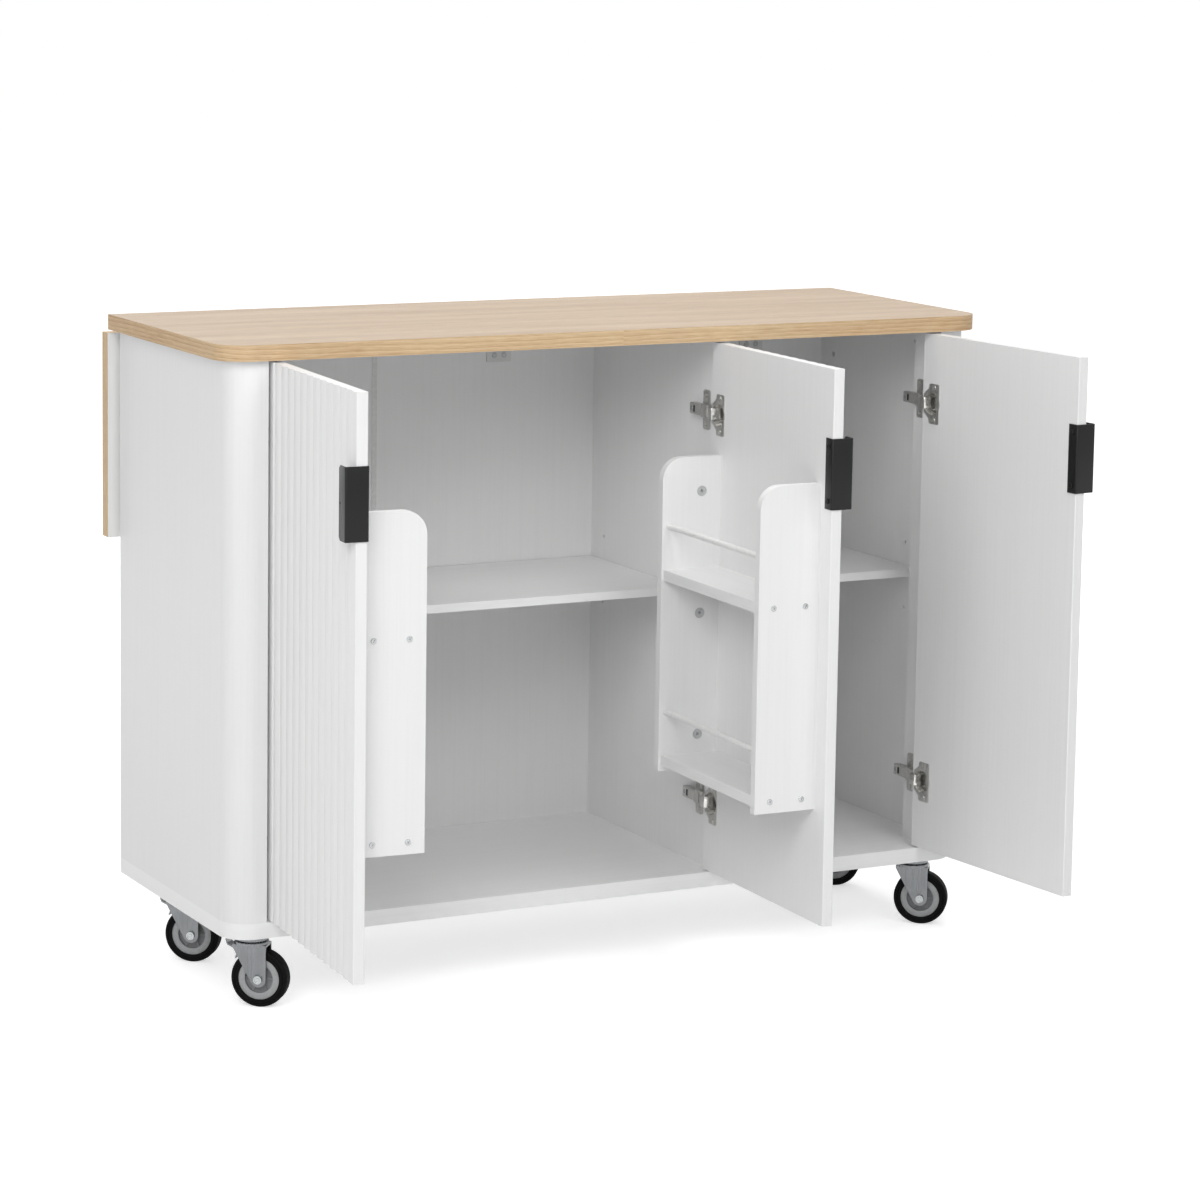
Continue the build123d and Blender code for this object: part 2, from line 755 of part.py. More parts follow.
def make_catch():
    """Two ears under the leaf, each with a seat and a stop for the strut's cross pin."""
    seat = strut_face_distance - strut_pin_radius - catch_seat_gap
    stop = strut_seat_distance() - strut_pin_radius - catch_seat_gap
    start = stop - catch_stop
    end = strut_seat_distance() + catch_reach
    ear = make_face(
        Polyline(
            (start, 0), (start, catch_stop_height), (stop, catch_stop_height),
            (stop, seat), (end, seat), (end, 0), close=True,
        )
    )
    half_width = catch_width / 2
    base = block((-half_width, half_width), (start, end), (0, catch_sheet))
    inner = strut_thickness / 2 + catch_ear_gap
    for side in (-1, 1):
        near = inner if side > 0 else -inner - catch_sheet
        base += Pos(near, 0, 0) * extrude(Plane.YZ * ear, catch_sheet)
    hanging = Rot(-90, 0, 0) * mirror(base, about=Plane.XY)
    return Pos(0, leaf_face_y, leaf_axis_z) * hanging


def make_leaf_supports():
    axis = Pos(0, strut_axis_y, strut_axis_z)
    places = {"left": Pos(-strut_x, 0, 0), "right": Pos(strut_x, 0, 0)}
    for name, place in places.items():
        pieces[f"leaf_strut_{name}"] = place * axis * make_strut()
    pieces["leaf_strut_wall_plates"] = group([place * axis * make_strut_wall_plate() for place in places.values()])
    pieces["leaf_strut_catches"] = group([place * make_catch() for place in places.values()])


def round_y(profile):
    """Turn a profile of (radius, y) points about the Y axis."""
    return revolve(profile, Axis.Y)


def make_tyre():
    half = wheel_width / 2
    profile = Pos(hub_diameter / 2, 0) * Rectangle(
        wheel_radius - hub_diameter / 2, wheel_width, align=(Align.MIN, Align.CENTER)
    )
    profile = fillet(profile.vertices().group_by(Axis.X)[-1], min(tyre_round, half - 1))
    return round_y(profile)


def make_hub():
    """Rim, thinner web with ribs, and a boss that runs on the axle."""
    bore = axle_diameter / 2 + axle_clearance
    boss = hub_boss_diameter / 2
    rim_outer = hub_diameter / 2
    rim_inner = rim_outer - hub_rim
    boss_width = 2 * (fork_gap - wheel_side_gap)
    profile = Pos((bore + boss) / 2, 0) * Rectangle(boss - bore, boss_width)
    profile += Pos((boss + rim_inner) / 2, 0) * Rectangle(rim_inner - boss, hub_web_width)
    profile += Pos((rim_inner + rim_outer) / 2, 0) * Rectangle(hub_rim, hub_rim_width)
    hub = round_y(profile)
    thickness = hub_web_width + 2 * hub_rib_height
    rib = block((boss - 1, rim_inner + 1), (-thickness / 2, thickness / 2), (-hub_rib_width / 2, hub_rib_width / 2))
    for index in range(hub_ribs):
        hub += Rot(0, index * 360 / hub_ribs, 0) * rib
    return hub


def make_fork(braked):
    """Pressed fork: round crown above, two tapering legs beside the wheel."""
    lead = -crown_diameter / 2 - caster_trail
    crown_under = wheel_diameter + fork_clearance
    top_plate = Pos((lead + fork_tip_radius) / 2, crown_under + fork_plate / 2)
    top_plate *= Rectangle(fork_tip_radius - lead, fork_plate)
    foot = Pos(0, wheel_radius) * Circle(fork_tip_radius)
    side = make_face(make_hull(top_plate.edges() + foot.edges()).edges())
    side -= Pos(0, wheel_radius) * Circle(axle_diameter / 2 + axle_clearance / 2)
    outer = fork_gap + fork_sheet
    fork = Pos(0, outer, 0) * extrude(Plane.XZ * side, 2 * outer)
    reach = 2 * crown_diameter
    fork -= block((-reach, reach), (-fork_gap, fork_gap), (0, crown_under))
    crown = rod_z(crown_diameter / 2, -caster_trail, 0, (crown_under + fork_plate - 1, crown_top))
    crown = fillet(crown.edges().group_by(Axis.Z)[-1], crown_round)
    fork += crown
    if braked:
        pin_z = wheel_radius + pedal_pin_rise
        fork += rod_y(pedal_pin_radius, pedal_pin_x, (-outer, outer), pin_z)
    axle = rod_y(axle_diameter / 2, 0, (-outer, outer), wheel_radius)
    for head in ((-outer - axle_head_rise, -outer), (outer, outer + axle_head_rise)):
        axle += rod_y(axle_head_diameter / 2, 0, head, wheel_radius)
    return group([fork, axle])


def make_pedal():
    """Bent sheet on a barrel: a foot tab that leads out, and a shoe that hangs by the tread."""
    pin = (pedal_pin_x, wheel_radius + pedal_pin_rise)
    tip = (pedal_tip_x, wheel_radius + pedal_tip_rise)
    curl = (pedal_tip_x - 2, wheel_radius + pedal_tip_rise + pedal_curl)
    shoe = (pedal_shoe_x, wheel_radius + pedal_shoe_rise)
    shape = trace(FilletPolyline(pin, tip, curl, radius=3), pedal_sheet)
    shape += trace(Line(pin, shoe), pedal_sheet)
    for end in (curl, shoe):
        shape += Pos(*end) * Circle(pedal_sheet / 2)
    shape += Pos(*pin) * Circle(pedal_barrel_radius)
    shape -= Pos(*pin) * Circle(pedal_pin_radius + axle_clearance)
    return Pos(0, pedal_width / 2, 0) * extrude(Plane.XZ * shape, pedal_width)


def make_caster_plate():
    plate_low = caster_height - caster_plate_thickness
    half = caster_plate_size / 2
    plate = block((-half, half), (-half, half), (plate_low, caster_height))
    plate = fillet(plate.edges().filter_by(Axis.Z), caster_plate_corner)
    race = rod_z(race_diameter / 2, 0, 0, (crown_top + swivel_gap, plate_low))
    race = fillet(race.edges().group_by(Axis.Z)[0], race_round)
    return plate + race


def make_casters():
    plates = []
    for name, (x, y) in casters.items():
        plates.append(Pos(x, y, 0) * make_caster_plate())
        place = Pos(x, y, 0) * Rot(0, 0, caster_heading) * Pos(caster_trail, 0, 0)
        axle = Pos(0, 0, wheel_radius)
        braked = name in braked_casters
        pieces[f"caster_{name}_fork"] = place * make_fork(braked)
        pieces[f"caster_{name}_tyre"] = place * axle * make_tyre()
        pieces[f"caster_{name}_hub"] = place * axle * make_hub()
        if braked:
            pieces[f"caster_{name}_pedal"] = place * make_pedal()
    pieces["caster_plates"] = group(plates)


def footprint_shift():
    """Move from the drawing's front edge to the middle of the whole footprint."""
    boxes = [piece.bounding_box() for piece in pieces.values()]
    front = min(box.min.Y for box in boxes)
    back = max(box.max.Y for box in boxes)
    return -(front + back) / 2


make_worktop()
make_body_boards()
make_back()
make_shelves()
make_worktop_brackets()
make_doors()
make_leaf()
make_leaf_hinges()
make_leaf_supports()
make_casters()

centre_shift = footprint_shift()
os.makedirs("parts", exist_ok=True)
for node, shape in pieces.items():
    export_step(Pos(0, centre_shift, 0) * shape, f"parts/{node}.step")
print(f"{len(pieces)} nodes, moved by {centre_shift:.3f} along Y, strut swing {strut_swing():.3f} degrees")
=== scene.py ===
import bpy
import math
from mathutils import Matrix, Vector


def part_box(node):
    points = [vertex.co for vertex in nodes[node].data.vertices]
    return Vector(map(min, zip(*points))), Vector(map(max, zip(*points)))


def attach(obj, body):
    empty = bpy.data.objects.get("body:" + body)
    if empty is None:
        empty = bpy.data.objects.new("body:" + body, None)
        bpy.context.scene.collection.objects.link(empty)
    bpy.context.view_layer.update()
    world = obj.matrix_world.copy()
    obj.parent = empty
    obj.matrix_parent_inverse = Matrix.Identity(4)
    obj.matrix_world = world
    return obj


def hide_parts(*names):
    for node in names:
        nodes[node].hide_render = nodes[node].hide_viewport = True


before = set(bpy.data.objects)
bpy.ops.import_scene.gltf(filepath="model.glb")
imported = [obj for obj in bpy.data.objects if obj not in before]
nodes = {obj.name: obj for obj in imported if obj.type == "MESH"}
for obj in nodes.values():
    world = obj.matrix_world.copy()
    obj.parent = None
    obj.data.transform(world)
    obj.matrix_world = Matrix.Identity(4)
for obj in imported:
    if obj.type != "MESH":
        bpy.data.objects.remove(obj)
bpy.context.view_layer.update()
bpy.ops.object.select_all(action="DESELECT")
print("frame loaded:", len(nodes), "nodes")

# The worktop's front edge is the line all places are measured from, in millimetres
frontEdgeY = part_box("worktop")[0].y


def place(x, y, z):
    return Vector((x / 1000, frontEdgeY + y / 1000, z / 1000))


def srgbToLinear(hexCode):
    parts = [int(hexCode[i:i + 2], 16) / 255 for i in (1, 3, 5)]
    return [p / 12.92 if p <= 0.04045 else ((p + 0.055) / 1.055) ** 2.4 for p in parts] + [1.0]


def addNode(material, kind, links=None, **settings):
    # links holds the socket values: a number, a colour, or another node's output
    node = material.node_tree.nodes.new(kind)
    for name, value in settings.items():
        setattr(node, name, value)
    for socket, value in (links or {}).items():
        if isinstance(value, bpy.types.NodeSocket):
            material.node_tree.links.new(value, node.inputs[socket])
        else:
            node.inputs[socket].default_value = value
    return node


def newMaterial(name, **shader):
    # starts a material and sets the plain numbers straight on its shader
    material = bpy.data.materials.new(name)
    material.use_nodes = True
    principled = material.node_tree.nodes["Principled BSDF"]
    for socket, value in shader.items():
        principled.inputs[socket.replace("_", " ")].default_value = value
    return material, principled


def grainScale(alongMm, acrossMm, axis):
    # mapping scale for streaks of a real length and width, running along one axis
    along, across = 1000 / alongMm, 1000 / acrossMm
    return [along if i == "XYZ".index(axis) else across for i in range(3)]


def waveScale(widthMm):
    # scale at which a wave texture's bands are this wide: it draws one band in pi / 10 of a unit
    return 314 / widthMm


def rampColours(ramp, stops):
    elements = ramp.color_ramp.elements
    while len(elements) < len(stops):
        elements.new(0.5)
    for element, (position, hexCode) in zip(elements, stops):
        element.position = position
        element.color = srgbToLinear(hexCode)


# Oak-look melamine board: satin, with fine pores along the length. The printed faces are pale and
# calm, the edge band is warmer and more figured, and the side that faces the cabinet is white
oakBoard = {
    "face": [(0.34, "#957f69"), (0.50, "#b5a18b"), (0.66, "#c8b7a2")],
    "edge": [(0.34, "#ab875f"), (0.50, "#c6a883"), (0.66, "#d9c09b")],
    "backing": "#e6e6e5",
    "ringWidth": 6,
    "ringStretch": 9,
    "ringWander": 7.0,
    "poreLength": 30,
    "poreWidth": 1.5,  # real pores are 0.3 mm, drawn wider so that they show
    "shadeLength": 600,
    "shadeWidth": 45,
    "weights": {"rings": 0.15, "shade": 0.40, "pores": 0.48, "base": 0.015},
    "rough": (0.50, 0.64),
    "shine": 0.4,
    "bump": 0.2,
    "bandShift": 3.0,  # takes the edge band's pattern from another part of the print
    "flatLimit": 0.7,  # how squarely a face must look along the thickness to count as a flat side
}


def makeOak(name, widthAxis, thickAxis):
    # the print runs along X; the flat side that looks down the thickness axis is the white one
    material, principled = newMaterial(name, Specular_IOR_Level=oakBoard["shine"], IOR=1.5)
    weights = oakBoard["weights"]
    texture = addNode(material, "ShaderNodeTexCoord")
    along = addNode(material, "ShaderNodeSeparateXYZ", {0: texture.outputs["Object"]})
    normal = addNode(material, "ShaderNodeSeparateXYZ", {0: texture.outputs["Normal"]})
    # printed faces: length by width
    faceAt = addNode(material, "ShaderNodeCombineXYZ", {
        "X": along.outputs["X"], "Y": along.outputs[widthAxis]})
    # edge band: its length runs along the front and on round the corners, its height is the thickness
    side = addNode(material, "ShaderNodeMath", {0: along.outputs["X"]}, operation="SIGN")
    bandLength = addNode(material, "ShaderNodeMath", {
        0: side.outputs["Value"], 1: along.outputs[widthAxis], 2: along.outputs["X"]},
        operation="MULTIPLY_ADD")
    bandAt = addNode(material, "ShaderNodeCombineXYZ", {
        "X": bandLength.outputs["Value"], "Y": along.outputs[thickAxis], "Z": oakBoard["bandShift"]})
    facing = normal.outputs[thickAxis]
    flat = addNode(material, "ShaderNodeMath", {0: facing}, operation="ABSOLUTE")
    flat = addNode(material, "ShaderNodeMath", {
        0: flat.outputs["Value"], 1: oakBoard["flatLimit"]}, operation="GREATER_THAN")
    grainAt = addNode(material, "ShaderNodeMix", {
        0: flat.outputs["Value"], 4: bandAt.outputs["Vector"], 5: faceAt.outputs["Vector"]},
        data_type="VECTOR")
    # growth lines that wander slowly and meet in long arches
    ringAt = addNode(material, "ShaderNodeMapping", {
        "Vector": grainAt.outputs[1], "Scale": (1 / oakBoard["ringStretch"], 1.0, 1.0)})
    rings = addNode(material, "ShaderNodeTexWave", {
        "Vector": ringAt.outputs["Vector"], "Scale": waveScale(oakBoard["ringWidth"]),
        "Distortion": oakBoard["ringWander"], "Detail": 2.0, "Detail Scale": 0.45, "Detail Roughness": 0.6},
        wave_type="BANDS", bands_direction="Y", wave_profile="SAW")
    shadeAt = addNode(material, "ShaderNodeMapping", {
        "Vector": grainAt.outputs[1],
        "Scale": grainScale(oakBoard["shadeLength"], oakBoard["shadeWidth"], "X")})
    shade = addNode(material, "ShaderNodeTexNoise", {
        "Vector": shadeAt.outputs["Vector"], "Scale": 1.0, "Detail": 4.0, "Roughness": 0.6})
    poreAt = addNode(material, "ShaderNodeMapping", {
        "Vector": grainAt.outputs[1],
        "Scale": grainScale(oakBoard["poreLength"], oakBoard["poreWidth"], "X")})
    pores = addNode(material, "ShaderNodeTexNoise", {
        "Vector": poreAt.outputs["Vector"], "Scale": 1.0, "Detail": 3.0, "Roughness": 0.7})
    tone = addNode(material, "ShaderNodeMath", {
        0: rings.outputs["Fac"], 1: weights["rings"], 2: weights["base"]}, operation="MULTIPLY_ADD")
    tone = addNode(material, "ShaderNodeMath", {
        0: shade.outputs["Fac"], 1: weights["shade"], 2: tone.outputs["Value"]}, operation="MULTIPLY_ADD")
    tone = addNode(material, "ShaderNodeMath", {
        0: pores.outputs["Fac"], 1: weights["pores"], 2: tone.outputs["Value"]}, operation="MULTIPLY_ADD")
    face = addNode(material, "ShaderNodeValToRGB", {"Fac": tone.outputs["Value"]})
    band = addNode(material, "ShaderNodeValToRGB", {"Fac": tone.outputs["Value"]})
    rampColours(face, oakBoard["face"])
    rampColours(band, oakBoard["edge"])
    colour = addNode(material, "ShaderNodeMix", {
        0: flat.outputs["Value"], 6: band.outputs["Color"], 7: face.outputs["Color"]}, data_type="RGBA")
    backing = addNode(material, "ShaderNodeMath", {
        0: facing, 1: -oakBoard["flatLimit"]}, operation="LESS_THAN")
    colour = addNode(material, "ShaderNodeMix", {
        0: backing.outputs["Value"], 6: colour.outputs[2], 7: srgbToLinear(oakBoard["backing"])},
        data_type="RGBA")
    material.node_tree.links.new(colour.outputs[2], principled.inputs["Base Color"])
    rough = addNode(material, "ShaderNodeMapRange", {
        "Value": pores.outputs["Fac"], "To Min": oakBoard["rough"][0], "To Max": oakBoard["rough"][1]})
    material.node_tree.links.new(rough.outputs["Result"], principled.inputs["Roughness"])
    bump = addNode(material, "ShaderNodeBump", {
        "Strength": oakBoard["bump"], "Distance": 0.0003, "Height": pores.outputs["Fac"]})
    material.node_tree.links.new(bump.outputs["Normal"], principled.inputs["Normal"])
    return material


# White melamine foil on board: satin, with wood grain pressed in that catches the light in streaks
whiteFoil = {"streakLength": 240, "streakWidth": 4.0, "bump": 0.012}
whiteFoils = {
    # upright boards
    "whiteFoilUpright": {"grain": "Z", "colour": "#e9e9e9", "shade": "#e7e7e7", "rough": 0.42},
    # bottom board and shelves, their grain along the worktop, in a lighter white than the upright boards as
    # painted light on their tops
    "whiteFoilLengthwisePaintedLight": {"grain": "X", "colour": "#f1f1f1", "shade": "#efefef", "rough": 0.42},
    # rack shelves
    "whiteFoilCrosswise": {"grain": "Y", "colour": "#eaeaea", "shade": "#e8e8e8", "rough": 0.42},
    # thin back boards
    "whiteBackFoil": {"grain": "Z", "colour": "#efefef", "shade": "#ededed", "rough": 0.42},
    # doors, a little shinier
    "whiteDoorFoil": {"grain": "Z", "colour": "#e9e9e9", "shade": "#e7e7e7", "rough": 0.36},
}


def makeWhiteFoil(name, foil):
    material, principled = newMaterial(name, Roughness=foil["rough"], IOR=1.5)
    coords = addNode(material, "ShaderNodeTexCoord").outputs["Object"]
    streakAt = addNode(material, "ShaderNodeMapping", {
        "Vector": coords,
        "Scale": grainScale(whiteFoil["streakLength"], whiteFoil["streakWidth"], foil["grain"])})
    streaks = addNode(material, "ShaderNodeTexNoise", {
        "Vector": streakAt.outputs["Vector"], "Scale": 1.0, "Detail": 6.0, "Roughness": 0.6})
    ramp = addNode(material, "ShaderNodeValToRGB", {"Fac": streaks.outputs["Fac"]})
    rampColours(ramp, [(0.36, foil["shade"]), (0.56, foil["colour"])])
    material.node_tree.links.new(ramp.outputs["Color"], principled.inputs["Base Color"])
    bump = addNode(material, "ShaderNodeBump", {
        "Strength": whiteFoil["bump"], "Distance": 0.0003, "Height": streaks.outputs["Fac"]})
    material.node_tree.links.new(bump.outputs["Normal"], principled.inputs["Normal"])
    return material


# Fine-grained finishes: one speckle, its size in mm, between two colours and two roughnesses
plainFinishes = {
    # polypropylene strip, extruded: smooth and slightly waxy
    "extrudedWhiteStrip": {"low": "#dededd", "high": "#e6e6e5", "grit": 6,
                           "rough": (0.38, 0.46), "depth": 0.05},
    # mild steel with white powder coat: fine orange peel
    "whitePowderCoat": {"low": "#dcdcdb", "high": "#e6e6e5", "grit": 1.2,
                        "rough": (0.40, 0.52), "depth": 0.15},
    # white lacquered steel tube of the rack rails: smooth with a soft shine
    "whiteLacquer": {"low": "#e4e4e3", "high": "#ebebea", "grit": 5,
                     "rough": (0.26, 0.34), "depth": 0.05},
    # mild steel with black powder coat: deep grey, soft sheen
    "blackPowderCoat": {"low": "#0b0b0c", "high": "#101011", "grit": 1.2,
                        "rough": (0.36, 0.44), "depth": 0.10, "shine": 0.3},
    # black rubber tyre, moulded: matt with a dusty bloom
    "mouldedRubber": {"low": "#030303", "high": "#070707", "grit": 1.5,
                      "rough": (0.55, 0.72), "depth": 0.25, "shine": 0.1},
    # grey polypropylene hub, moulded
    "mouldedGreyHub": {"low": "#9c9d9e", "high": "#a6a7a8", "grit": 2.5,
                       "rough": (0.38, 0.50), "depth": 0.10},
    # the same grey with painted shade, for the well of the hub where the rim and fork shade it
    "paintedShadeGreyHub": {"low": "#7e7f81", "high": "#8a8b8d", "grit": 2.5,
                      "rough": (0.50, 0.62), "depth": 0.10},
    # painted shade inside the slots of the hinge arms: nearly black
    "slotPaintedShade": {"low": "#101010", "high": "#1b1b1b", "grit": 1.5,
                     "rough": (0.40, 0.55), "depth": 0.10},
    # zinc die-casting of the cam locks: dull and slightly grained
    "castZincCam": {"low": "#b9babb", "high": "#cbcccd", "grit": 1.5,
                    "rough": (0.34, 0.46), "depth": 0.20, "metal": 0.4},
}


def makePlain(name, finish):
    material, principled = newMaterial(
        name, IOR=1.48, Specular_IOR_Level=finish.get("shine", 0.5), Metallic=finish.get("metal", 0.0))
    coords = addNode(material, "ShaderNodeTexCoord").outputs["Object"]
    speckle = addNode(material, "ShaderNodeTexNoise", {
        "Vector": coords, "Scale": 1000 / finish["grit"], "Detail": 3.0, "Roughness": 0.6})
    ramp = addNode(material, "ShaderNodeValToRGB", {"Fac": speckle.outputs["Fac"]})
    rampColours(ramp, [(0.35, finish["low"]), (0.65, finish["high"])])
    material.node_tree.links.new(ramp.outputs["Color"], principled.inputs["Base Color"])
    rough = addNode(material, "ShaderNodeMapRange", {
        "Value": speckle.outputs["Fac"], "To Min": finish["rough"][0], "To Max": finish["rough"][1]})
    material.node_tree.links.new(rough.outputs["Result"], principled.inputs["Roughness"])
    bump = addNode(material, "ShaderNodeBump", {
        "Strength": finish["depth"], "Distance": 0.0002, "Height": speckle.outputs["Fac"]})
    material.node_tree.links.new(bump.outputs["Normal"], principled.inputs["Normal"])
    return material


# Plated steel: faint upright rolling lines in the sheet, their width in mm, over a slow change of
# tone from the bath
bathPatch = 25
platedFinishes = {
    # nickel plate on pressed steel hinges: bright and slightly warm
    "nickelPlate": {"low": "#c6c5c2", "high": "#cac9c6", "line": 0.8, "rough": (0.25, 0.30)},
    # the same on the hinge links, which are polished
    "polishedNickel": {"low": "#cccbc8", "high": "#d2d1ce", "line": 0.8, "rough": (0.15, 0.20)},
    # zinc plate on pressed steel: cooler and duller
    "zincPlate": {"low": "#7a7c7e", "high": "#858789", "line": 3.5, "rough": (0.22, 0.32)},
    # bright screws and rivets
    "brightScrew": {"low": "#a3a5a6", "high": "#bfc1c2", "line": 1.0, "rough": (0.18, 0.28)},
}


def makePlated(name, finish):
    material, principled = newMaterial(name, Metallic=1.0)
    coords = addNode(material, "ShaderNodeTexCoord").outputs["Object"]
    lineAt = addNode(material, "ShaderNodeMapping", {
        "Vector": coords, "Scale": grainScale(40 * finish["line"], finish["line"], "Z")})
    lines = addNode(material, "ShaderNodeTexNoise", {
        "Vector": lineAt.outputs["Vector"], "Scale": 1.0, "Detail": 3.0, "Roughness": 0.6})
    bath = addNode(material, "ShaderNodeTexNoise", {
        "Vector": coords, "Scale": 1000 / bathPatch, "Detail": 1.0, "Roughness": 0.5})
    tone = addNode(material, "ShaderNodeMix", {
        0: 0.5, 2: lines.outputs["Fac"], 3: bath.outputs["Fac"]}, data_type="FLOAT")
    ramp = addNode(material, "ShaderNodeValToRGB", {"Fac": tone.outputs[0]})
    rampColours(ramp, [(0.34, finish["low"]), (0.64, finish["high"])])
    material.node_tree.links.new(ramp.outputs["Color"], principled.inputs["Base Color"])
    rough = addNode(material, "ShaderNodeMapRange", {
        "Value": lines.outputs["Fac"], "To Min": finish["rough"][0], "To Max": finish["rough"][1]})
    material.node_tree.links.new(rough.outputs["Result"], principled.inputs["Roughness"])
    bump = addNode(material, "ShaderNodeBump", {
        "Strength": 0.02, "Distance": 0.0002, "Height": lines.outputs["Fac"]})
    material.node_tree.links.new(bump.outputs["Normal"], principled.inputs["Normal"])
    return material


materials = {"oakWorktop": makeOak("oakWorktop", "Y", "Z"), "oakLeaf": makeOak("oakLeaf", "Z", "Y")}
for finishName, finish in whiteFoils.items():
    materials[finishName] = makeWhiteFoil(finishName, finish)
for finishName, finish in plainFinishes.items():
    materials[finishName] = makePlain(finishName, finish)
for finishName, finish in platedFinishes.items():
    materials[finishName] = makePlated(finishName, finish)


def finishFor(node):
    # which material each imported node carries
    if node == "worktop":
        return "oakWorktop"
    if node == "drop_leaf":
        return "oakLeaf"
    if node.startswith("shelf_pins"):
        return "nickelPlate"
    if node.startswith("shelf_") or node == "bottom_board":
        return "whiteFoilLengthwisePaintedLight"
    if node.endswith("_shelves"):
        return "whiteFoilCrosswise"
    if node.endswith("_rails"):
        return "whiteLacquer"
    if node.endswith("_pull"):
        return "blackPowderCoat"
    if node.endswith("_fasteners"):
        return "brightScrew"
    if "hinge_cups" in node or "hinge_links" in node or node == "door_hinge_arms":
        return "nickelPlate"
    if node.startswith("door_"):
        return "whiteDoorFoil"
    if node.endswith("_tyre"):
        return "mouldedRubber"
    if node.endswith("_hub"):
        return "mouldedGreyHub"
    if node.startswith("leaf_") or node.startswith("caster_"):
        return "zincPlate"
    if node == "worktop_brackets":
        return "whitePowderCoat"
    if node.startswith("back_board"):
        return "whiteBackFoil"
    if node == "back_joining_strip":
        return "extrudedWhiteStrip"
    return "whiteFoilUpright"


for nodeName, nodeObject in nodes.items():
    nodeObject.data.materials.clear()
    nodeObject.data.materials.append(materials[finishFor(nodeName)])
print("materials on all nodes:", len(materials))


def selectOnly(piece):
    bpy.ops.object.select_all(action="DESELECT")
    piece.select_set(True)
    bpy.context.view_layer.objects.active = piece


def pickParts(piece, mode, accept):
    # opens edit mode with only the faces or edges that accept() takes
    selectOnly(piece)
    bpy.ops.object.mode_set(mode="EDIT")
    bpy.ops.mesh.select_mode(type=mode)
    bpy.ops.mesh.select_all(action="DESELECT")
    bpy.ops.object.mode_set(mode="OBJECT")
    for part in piece.data.polygons if mode == "FACE" else piece.data.edges:
        part.select = accept(part)
    bpy.ops.object.mode_set(mode="EDIT")


def finishMesh(piece, smoothAngle=35):
    # outward faces, then smooth shading that keeps the corners
    selectOnly(piece)
    bpy.ops.object.mode_set(mode="EDIT")
    bpy.ops.mesh.select_all(action="SELECT")
    bpy.ops.mesh.normals_make_consistent(inside=False)
    bpy.ops.object.mode_set(mode="OBJECT")
    bpy.ops.object.shade_smooth_by_angle(angle=math.radians(smoothAngle))


def carve(piece, cutter):
    selectOnly(piece)
    cut = piece.modifiers.new("carve", "BOOLEAN")
    cut.operation = "DIFFERENCE"
    cut.solver = "EXACT"
    cut.object = cutter
    bpy.ops.object.modifier_apply(modifier=cut.name)
    bpy.data.objects.remove(cutter)


def softenEdges(piece, width, angle=40):
    selectOnly(piece)
    soft = piece.modifiers.new("soften", "BEVEL")
    soft.width = width / 1000
    soft.segments = 2
    soft.limit_method = "ANGLE"
    soft.angle_limit = math.radians(angle)
    soft.use_clamp_overlap = True
    bpy.ops.object.modifier_apply(modifier=soft.name)


def setOut(model, name, spots):
    # joins copies of a model that points up, each copy with its own mesh, at places with directions
    copies = []
    for at, facing, turn in spots:
        copy = model.copy()
        copy.data = model.data.copy()
        bpy.context.scene.collection.objects.link(copy)
        upright = Vector(facing).to_track_quat("Z", "Y").to_matrix().to_4x4()
        copy.data.transform(
            Matrix.Translation(at) @ upright @ Matrix.Rotation(math.radians(turn), 4, "Z"))
        copies.append(copy)
    selectOnly(copies[0])
    for copy in copies:
        copy.select_set(True)
    if len(copies) > 1:
        bpy.ops.object.join()
    copies[0].name = name
    return copies[0]


def reworked(nodeName, name):
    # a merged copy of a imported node, to be worked on and shown in its place
    piece = bpy.data.objects.new(name, nodes[nodeName].data.copy())
    bpy.context.scene.collection.objects.link(piece)
    selectOnly(piece)
    bpy.ops.object.mode_set(mode="EDIT")
    bpy.ops.mesh.select_all(action="SELECT")
    bpy.ops.mesh.remove_doubles(threshold=0.000002)
    bpy.ops.mesh.dissolve_limited(angle_limit=math.radians(0.5))
    bpy.ops.object.mode_set(mode="OBJECT")
    return piece


def dress(piece, material, slotName, body, *replaced):
    # gives a finished piece its material, the body it moves with and the nodes it stands for
    piece.data.materials.clear()
    piece.data.materials.append(materials[material])
    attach(piece, body)
    if replaced:
        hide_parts(*replaced)


# Doors: their own frame runs from the hinge side to the free edge, and inwards. Each has its
# pivot's place along the worktop, its hand, how far it stands open and where its hinge plates sit
doors = {
    "left": {"pivot": -521.5, "hand": 1, "open": 94.3, "mount": -8},
    "middle": {"pivot": 167, "hand": -1, "open": 88.5, "mount": -0.75},
    "right": {"pivot": 521.5, "hand": -1, "open": 95.4, "mount": -8},
}
pivotDepth = 15
hingeHeights = (229, 793)


def doorWay(side, direction, opened=True):
    turned = Vector(direction)
    if opened:
        turned = Matrix.Rotation(-math.radians(doors[side]["open"]), 3, "Z") @ turned
    turned.x *= doors[side]["hand"]
    return turned


def doorPlace(side, x, y, z, opened=True):
    local = doorWay(side, (x, y, 0), opened)
    return place(doors[side]["pivot"] + local.x, pivotDepth + local.y, z)


def bothSides(spacing):
    return -spacing / 2, spacing / 2


# Cross recess for a driver: a cutter that sticks up a little from z = 0, narrower at its foot
crossShape = {"above": 0.4, "footShare": 0.55}


